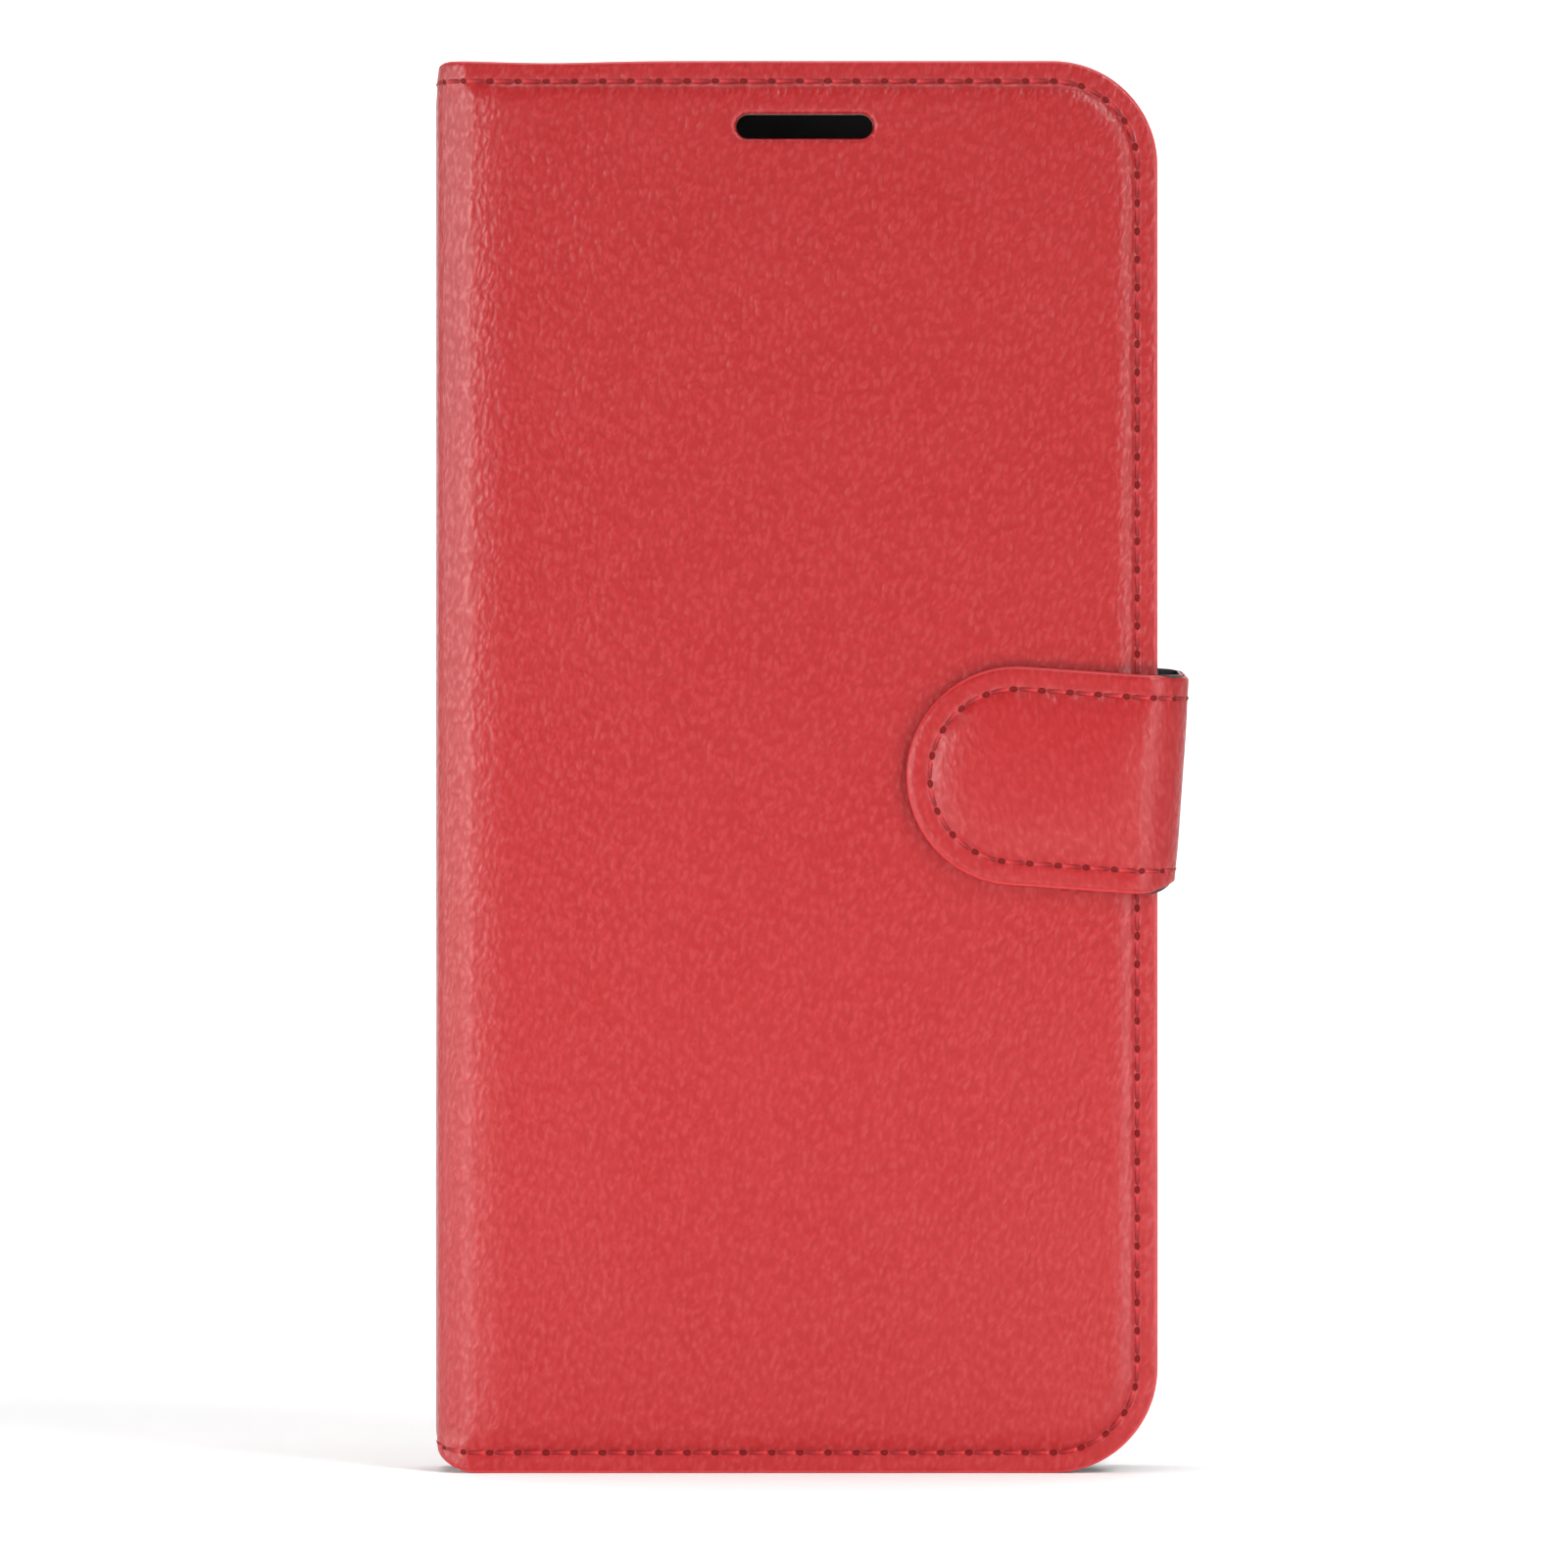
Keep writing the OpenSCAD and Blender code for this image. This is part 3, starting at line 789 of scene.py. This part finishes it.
def build_shell():
    """The moulded tray: its section swept round the phone, then cut for camera, keys and port."""
    r = shell_r
    low = np.array([shell_low[0], shell_low[2]]) + r
    high = np.array([shell_high[0], shell_high[2]]) - r
    turns = np.radians([np.linspace(quarter, quarter + 90, 15) for quarter in (0, 90, 180, 270)])
    normal = np.stack([np.cos(turns), np.sin(turns)], -1)
    middle = np.array([(high[0], high[1]), (low[0], high[1]), (low[0], low[1]), (high[0], low[1])])
    outline = (middle[:, None] + r * normal).reshape(-1, 2)
    normal = normal.reshape(-1, 2)
    depth = shell_high[1] - shell_low[1]
    inner = shell_wall + lip_reach
    floor_depth = depth - shell_floor
    section = np.concatenate([
        arc((shell_edge_r, depth - shell_edge_r), shell_edge_r, 90, 180),
        arc((0.4, 0.4), 0.4, 180, 270),
        arc((inner - 0.35, 0.35), 0.35, 270, 360),
        arc((inner - 0.2, lip_t - 0.2), 0.2, 0, 90, 3),
        [(shell_wall, lip_t)],
        arc((shell_wall + shell_inner_r, floor_depth - shell_inner_r), shell_inner_r, 180, 90),
    ])
    plan = outline[None] - section[:, :1, None] * normal[None]
    across_y = np.broadcast_to(shell_low[1] + section[:, 1:], plan.shape[:2])
    points = np.stack([plan[..., 0], across_y, plan[..., 1]], -1)
    rings, count = plan.shape[:2]
    index = np.arange(rings * count).reshape(rings, count)
    ahead = np.roll(index, -1, 1)
    walls = np.stack([index[:-1], index[1:], ahead[1:], ahead[:-1]], -1).reshape(-1, 4).tolist()
    mesh = bpy.data.meshes.new("phone_tray")
    mesh.from_pydata((points.reshape(-1, 3) * MM).tolist(), [],
                     walls + [index[0].tolist(), index[-1].tolist()])
    tray = outward("phone_tray", mesh)
    phone_y = shell_low[1] + lip_t + phone_t / 2
    corner_x, corner_z = outer_corner[0], outer_corner[2]
    camera_place = (corner_x + camera_middle[0], shell_high[1], corner_z + camera_middle[1])
    key_place = (shell_high[0], phone_y, corner_z + key_z)
    port_place = ((shell_low[0] + shell_high[0]) / 2, phone_y, shell_low[2])
    across, through, up = np.eye(3)
    cutters = [
        slot_cutter(camera_place, up, across, through, shell_camera_size[1], shell_camera_size[0], 4.0),
        slot_cutter(key_place, up, through, across, key_length, window_w, 6.0),
        slot_cutter(port_place, across, through, up, port_length, window_w, 6.0),
    ]
    for cutter in cutters:
        cut = tray.modifiers.new("window", "BOOLEAN")
        cut.object = cutter
        cut.solver = "EXACT"
    rim = tray.modifiers.new("rim", "BEVEL")
    rim.width = shell_bevel * MM
    rim.segments = 2
    rim.angle_limit = math.radians(50)
    graph = bpy.context.evaluated_depsgraph_get()
    final = bpy.data.meshes.new_from_object(tray.evaluated_get(graph), depsgraph=graph)
    for piece in [tray, *cutters]:
        bpy.data.objects.remove(piece)
    shell = finish_mesh("phone_shell_tray", final, sharp=40)
    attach(shell, "back_cover")
    final.materials.clear()
    dress(shell, "shell", ["phone_shell"])


# Materials.
class Nodes:
    """A material's node tree, with short calls for what the materials here share."""

    def __init__(self, name):
        self.material = bpy.data.materials.new(name)
        self.material.use_nodes = True
        self.tree = self.material.node_tree
        self.shader = self.tree.nodes["Principled BSDF"]

    def add(self, kind, inputs=(), **settings):
        node = self.tree.nodes.new(kind)
        for key, value in settings.items():
            setattr(node, key, value)
        for key, value in dict(inputs).items():
            self.feed(node.inputs[key], value)
        return node

    def feed(self, socket, value):
        if isinstance(value, bpy.types.NodeSocket):
            self.tree.links.new(value, socket)
        else:
            socket.default_value = value

    def math(self, operation, *values):
        node = self.add("ShaderNodeMath", operation=operation)
        for socket, value in zip(node.inputs, values):
            self.feed(socket, value)
        return node.outputs[0]

    def vector_math(self, operation, a, b):
        return self.add("ShaderNodeVectorMath", {0: a, 1: b}, operation=operation).outputs[0]

    def attribute(self, name):
        return self.add("ShaderNodeAttribute", attribute_name=name).outputs["Vector"]

    def split(self, vector):
        return self.add("ShaderNodeSeparateXYZ", {"Vector": vector}).outputs

    def scaled(self, vector, scale):
        return self.add("ShaderNodeMapping", {"Vector": vector, "Scale": scale}).outputs[0]

    def sized(self, vector, size, turn=0.0):
        """Turns a direction upright, and counts in lengths of the given size."""
        inputs = {"Vector": vector, "Scale": size, "Rotation": (0, 0, turn)}
        return self.add("ShaderNodeMapping", inputs, vector_type="TEXTURE").outputs[0]

    def noise(self, vector, scale=1.0, detail=2.0, rough=0.5):
        inputs = {"Vector": vector, "Scale": scale, "Detail": detail, "Roughness": rough}
        return self.add("ShaderNodeTexNoise", inputs).outputs["Fac"]

    def ramp(self, value, low, high, start=0.0, end=1.0):
        inputs = {"Value": value, "From Min": low, "From Max": high, "To Min": start, "To Max": end}
        node = self.add("ShaderNodeMapRange", inputs, interpolation_type="SMOOTHSTEP")
        return node.outputs[0]

    def mix(self, factor, a, b):
        node = self.add("ShaderNodeMix", data_type="RGBA")
        self.feed(node.inputs[0], factor)
        self.feed(node.inputs[6], a)
        self.feed(node.inputs[7], b)
        return node.outputs[2]

    def cells(self, vector, scale, feature):
        inputs = {"Vector": vector, "Scale": scale}
        node = self.add("ShaderNodeTexVoronoi", inputs, feature=feature, voronoi_dimensions="2D")
        return node.outputs["Distance"]

    def bump(self, height, depth, strength=1.0, normal=None):
        inputs = {"Height": height, "Distance": depth, "Strength": strength}
        if normal is not None:
            inputs["Normal"] = normal
        return self.add("ShaderNodeBump", inputs).outputs[0]

    def shade(self, **values):
        for key, value in values.items():
            self.feed(self.shader.inputs[key.replace("_", " ").title().replace("Ior", "IOR")], value)
        return self.material


# The middle of the grain's height, and how far it reaches from there to its darkest and lightest.
GRAIN_MIDDLE = 0.83
GRAIN_SPREAD = 0.19


def leather_height(n):
    """Embossed grain: small pebbles of uneven height, drawn out along the case and a little askew.

    It is pressed a little deeper towards the case's top."""
    grain = n.attribute("grain")
    drift = n.add("ShaderNodeTexNoise", {"Vector": grain, "Scale": 0.30, "Detail": 2.0}).outputs["Color"]
    centred = n.vector_math("SUBTRACT", drift, (0.5, 0.5, 0.5))
    warped = n.vector_math("ADD", grain, n.vector_math("MULTIPLY", centred, (2.4, 2.4, 0)))
    pebble = n.ramp(n.cells(n.sized(warped, (0.74, 1.25, 1), -0.25), 1.0, "F1"), 0.85, 0.0)
    swell = n.noise(n.sized(grain, (0.60, 1.25, 1), -0.2), detail=0.0)
    fine = n.noise(n.sized(grain, (0.34, 0.58, 1), -0.2), detail=0.0)
    height = n.math("MULTIPLY_ADD", fine, 0.40, n.math("MULTIPLY", pebble, 0.35))
    height = n.math("MULTIPLY_ADD", swell, 0.8, n.math("SUBTRACT", height, GRAIN_MIDDLE))
    depth = n.ramp(n.split(grain)[1], 5, 150, 0.68, 1.14)
    return grain, n.math("MULTIPLY_ADD", height, depth, GRAIN_MIDDLE)


def leather_material(name, base, light, dark, edge_colour):
    n = Nodes(name)
    grain, height = leather_height(n)
    mottle = n.noise(grain, scale=0.09, detail=3.0)
    low, high = GRAIN_MIDDLE - GRAIN_SPREAD, GRAIN_MIDDLE + GRAIN_SPREAD
    # The grain's colour follows its height: partly the leather's own tone, partly painted shade in the valleys
    # between the pebbles and a paler, pinker painted sheen on their tops.
    colour = n.mix(n.ramp(height, low, GRAIN_MIDDLE), dark, base)
    colour = n.mix(n.ramp(height, GRAIN_MIDDLE, high), colour, light)
    colour = n.mix(n.ramp(mottle, 0.35, 0.65, 0.0, 0.10), colour, light)
    along, across, free = n.split(n.attribute("seam"))
    edge = n.math("MULTIPLY", n.ramp(free, 0.40, 0.16), n.ramp(mottle, 0.2, 0.6, 0.55, 1.0))
    colour = n.mix(edge, colour, edge_colour)
    # The needle holes: a dented bump, and painted shade, near black-red, in each hole.
    hole = needle_hole_shade(n, along, across)
    colour = n.mix(n.math("MULTIPLY", hole, 0.92), colour, (0.10, 0.0, 0.0, 1))
    normal = n.bump(height, 0.00008)
    normal = n.bump(n.math("SUBTRACT", 1.0, hole), 0.00025, normal=normal)
    roughness = n.math("MAXIMUM", n.ramp(height, 0.6, 1.1, 0.42, 0.28), hole)
    n.shader.inputs["Specular IOR Level"].default_value = 0.45
    return n.shade(base_color=colour, roughness=roughness, normal=normal)


def needle_hole_shade(n, along, across):
    """A mask for one needle hole, drawn out along the seam, at each whole number along it. The leather paints
    shade into each hole from it, and its bump and roughness follow it too.
    """
    step = n.math("SUBTRACT", n.math("FRACT", n.math("ADD", along, 0.5)), 0.5)
    x = n.math("MULTIPLY", step, stitch_pitch / 0.44)
    y = n.math("MULTIPLY", across, 1 / 0.31)
    far = n.math("ADD", n.math("MULTIPLY", x, x), n.math("MULTIPLY", y, y))
    return n.ramp(far, 1.25, 0.7)


def thread_material():
    """Twisted thread in two tones of red, with painted shade in the grooves between its plies, a painted highlight
    where it rises from one needle hole and painted shade towards the hole that it runs down into.
    """
    n = Nodes("thread")
    along, twist = n.split(n.attribute("thread"))[:2]
    place = n.add("ShaderNodeTexCoord").outputs["Object"]
    fuzz = n.noise(n.scaled(place, (3200, 3200, 3200)), detail=2.0)
    colour = n.mix(fuzz, (0.20, 0.008, 0.010, 1), (0.38, 0.020, 0.023, 1))
    # Painted shade in the grooves between the twisted plies.
    colour = n.mix(n.ramp(twist, -0.2, -0.9, 0.0, 0.35), colour, (0.10, 0.002, 0.003, 1))
    # Painted highlight where the thread humps up out of the needle hole.
    colour = n.mix(n.ramp(along, 0.30, 0.05, 0.0, 0.8), colour, (0.46, 0.035, 0.040, 1))
    # Painted shade where the thread sinks down into the next needle hole.
    colour = n.mix(n.ramp(along, 0.30, 0.75, 0.0, 0.75), colour, (0.12, 0.002, 0.003, 1))
    n.shader.inputs["Specular IOR Level"].default_value = 0.3
    return n.shade(base_color=colour, roughness=0.6, normal=n.bump(fuzz, 0.00003))


def lining_material():
    """Dark brushed microfibre."""
    n = Nodes("lining")
    grain = n.attribute("grain")
    nap = n.noise(n.scaled(grain, (5.0, 2.2, 1.0)), detail=4.0, rough=0.7)
    cloud = n.noise(grain, scale=0.12, detail=2.0)
    colour = n.mix(nap, (0.006, 0.0045, 0.0045, 1), (0.028, 0.022, 0.022, 1))
    colour = n.mix(n.ramp(cloud, 0.35, 0.7, 0.0, 0.35), colour, (0.034, 0.028, 0.028, 1))
    n.shader.inputs["Sheen Weight"].default_value = 0.06
    n.shader.inputs["Sheen Roughness"].default_value = 0.6
    return n.shade(base_color=colour, roughness=0.85, normal=n.bump(nap, 0.00005))


def object_noise_material(name, low, high, scale, roughness, depth, metal=0.0, gloss=0.4):
    n = Nodes(name)
    place = n.add("ShaderNodeTexCoord").outputs["Object"]
    speckle = n.noise(place, scale=scale, detail=3.0, rough=0.6)
    n.shader.inputs["Metallic"].default_value = metal
    n.shader.inputs["Specular IOR Level"].default_value = gloss
    colour = n.mix(n.ramp(speckle, 0.3, 0.7), low, high)
    return n.shade(base_color=colour, roughness=roughness, normal=n.bump(speckle, depth))


# The leather's tones. The dark one is also painted shade in the grain's valleys, and the light one is also painted
# sheen on the pebble tops as well as the mottle's lighter tone.
LEATHER_BASE = (0.259, 0.0064, 0.0078, 1)
LEATHER_LIGHT_AND_SHEEN = (0.280, 0.0175, 0.0195, 1)
LEATHER_DARK_AND_SHADE = (0.235, 0.0014, 0.0022, 1)
LEATHER_EDGE = (0.42, 0.032, 0.036, 1)
materials = {
    "leather": leather_material("leather", LEATHER_BASE, LEATHER_LIGHT_AND_SHEEN, LEATHER_DARK_AND_SHADE, LEATHER_EDGE),
    "lining": lining_material(),
    "thread": thread_material(),
    "shell": object_noise_material("shell", (0.0045, 0.004, 0.004, 1), (0.009, 0.008, 0.008, 1),
                                   5200, 0.5, 0.00002, gloss=0.28),
    "board": object_noise_material("board", (0.20, 0.18, 0.15, 1), (0.34, 0.31, 0.27, 1),
                                   900, 0.9, 0.00006),
    "magnet": object_noise_material("magnet", (0.30, 0.30, 0.31, 1), (0.48, 0.48, 0.50, 1),
                                    700, 0.35, 0.00001, 1.0),
    "core": object_noise_material("core", (0.66, 0.64, 0.58, 1), (0.78, 0.76, 0.70, 1),
                                  1200, 0.5, 0.00002),
}

# The two covers.
slot = Hole(slot_middle, slot_size, margin=2.0)
camera_hole = Hole(camera_middle, camera_size)
cover_layers = (cover_lining_depth, lining_depth - leather_depth, leather_t, 3.9, 6.5)
front_seam = Seam(front_leaf, seam_inset, stitch_pitch)
back_seam = Seam(back_leaf, seam_inset, stitch_pitch)
build_leaf("front", front_leaf, front_seam, cover_face, cover_layers, slot,
           ("spine", "front_cover"),
           (["front_leather", "front_fold_leather", "spine_leather"],
            ["front_lining", "front_fold_lining", "spine_lining"],
            ["front_stitching", "spine_stitching"]))
build_leaf("back", back_leaf, back_seam, back_face, cover_layers, camera_hole,
           ("spine", "back_cover"),
           (["back_leather", "rear_fold_leather"], ["back_lining", "rear_fold_lining"],
            ["back_stitching"]))

# The strap.
tongue_seam = Seam(tongue_leaf, strap_seam_inset, stitch_pitch)
root_seam = Seam(root_leaf, strap_seam_inset, stitch_pitch)
build_leaf("strap_tongue", tongue_leaf, tongue_seam, tongue_face,
           (strap_lining_depth, strap_lining_t, strap_leather_t, 3.8, -9.0), None,
           ("strap_bridge", "strap_tongue"),
           (["strap_tongue_leather", "strap_front_fold_leather", "strap_bridge_leather"],
            ["strap_tongue_lining", "strap_front_fold_lining", "strap_bridge_lining"],
            ["strap_tongue_stitching", "strap_bridge_stitching"]))
build_leaf("strap_root", root_leaf, root_seam, tongue_face,
           (tab_lining_depth, strap_lining_t, strap_leather_t, 3.8, -20.0), None,
           ("strap_bridge", "back_cover"),
           (["strap_root_leather", "strap_rear_fold_leather"],
            ["strap_root_lining", "strap_rear_fold_lining"],
            ["strap_bridge_stitching"]))
build_pockets()
build_shell()

for node, piece in frame["nodes"].items():
    slot_name = next(s["material_slot"] for s in frame["record"]["subparts"] if s["node"] == node)
    piece.data.materials.clear()
    piece.data.materials.append(materials[slot_name])


# Stage, lights and camera.
def make_stage():
    """A floor that sweeps up into a round backdrop, so that every side has the same plain ground."""
    floor_r, sweep_r, wall_h = 2.6, 0.8, 3.0
    sweep = [(floor_r + sweep_r * math.sin(a), sweep_r * (1 - math.cos(a)))
             for a in np.linspace(0, math.pi / 2, 12)]
    profile = [(0.02, 0.0), (0.5, 0.0)] + sweep + [(floor_r + sweep_r, wall_h)]
    turns = 96
    points = [(r * math.cos(2 * math.pi * i / turns), r * math.sin(2 * math.pi * i / turns), z)
              for r, z in profile for i in range(turns)]
    faces = [(j * turns + i, j * turns + (i + 1) % turns, (j + 1) * turns + (i + 1) % turns,
              (j + 1) * turns + i) for j in range(len(profile) - 1) for i in range(turns)]
    faces.append(list(range(turns))[::-1])
    mesh = bpy.data.meshes.new("stage")
    mesh.from_pydata(points, [], faces)
    for polygon in mesh.polygons:
        polygon.use_smooth = True
    stage = bpy.data.objects.new("stage", mesh)
    bpy.context.scene.collection.objects.link(stage)
    n = Nodes("stage")
    n.shader.inputs["Specular IOR Level"].default_value = 0.1
    mesh.materials.append(n.shade(base_color=(0.91, 0.91, 0.91, 1), roughness=0.95))


def area_light(name, place, aim, width, height, power):
    light = bpy.data.lights.new(name, "AREA")
    light.shape = "RECTANGLE"
    light.size = width
    light.size_y = height
    light.energy = power
    lamp = bpy.data.objects.new(name, light)
    lamp.location = place
    lamp.rotation_mode = "QUATERNION"
    lamp.rotation_quaternion = (Vector(aim) - Vector(place)).to_track_quat("-Z", "Y")
    lamp.visible_camera = False
    bpy.context.scene.collection.objects.link(lamp)
    return lamp


def make_lights():
    aim = (0, 0, 0.08)
    area_light("left_softbox", (-0.70, -0.64, 0.20), aim, 0.84, 0.38, 6.5)
    area_light("right_softbox", (0.66, -0.70, 0.19), aim, 0.66, 0.36, 2.9)
    area_light("key", (0.50, -0.60, 0.75), aim, 0.30, 0.30, 4.6)
    area_light("left_side", (-0.95, 0.05, 0.20), aim, 0.5, 0.44, 2.6)
    area_light("right_side", (0.95, 0.10, 0.25), aim, 0.5, 0.44, 0.5).visible_glossy = False
    for side in (-1, 1):
        place = (side * 0.12, -0.15, 0.012)
        area_light("low_bounce", place, (0, 0, 0.01), 0.16, 0.02, 0.165).visible_glossy = False
    area_light("top_softbox", (0.0, 0.35, 1.9), (0, 0.2, 0), 1.8, 1.8, 30)
    area_light("wall_wash", (0.0, 2.0, 1.5), (0, 3.2, 0.0), 3.0, 0.6, 34)
    world = bpy.data.worlds.new("world")
    world.use_nodes = True
    world.node_tree.nodes["Background"].inputs["Color"].default_value = (1, 1, 1, 1)
    world.node_tree.nodes["Background"].inputs["Strength"].default_value = 0.05
    bpy.context.scene.world = world


def make_camera():
    """Square on to the front cover, far away with a long lens."""
    distance = 1.2
    view_height = 183 * MM  # what the frame takes in at the case's face
    aim = np.array([outer_corner[0] + 40.85, front_y, 80.5]) * MM
    camera = bpy.data.cameras.new("camera")
    camera.sensor_width = 36
    camera.lens = camera.sensor_width * distance / view_height
    holder = bpy.data.objects.new("camera", camera)
    holder.location = aim + np.array([0, -distance, 0])
    holder.rotation_euler = (math.pi / 2, 0, 0)
    bpy.context.scene.collection.objects.link(holder)
    bpy.context.scene.camera = holder


make_stage()
make_lights()
make_camera()
bpy.context.scene.view_settings.view_transform = "Standard"
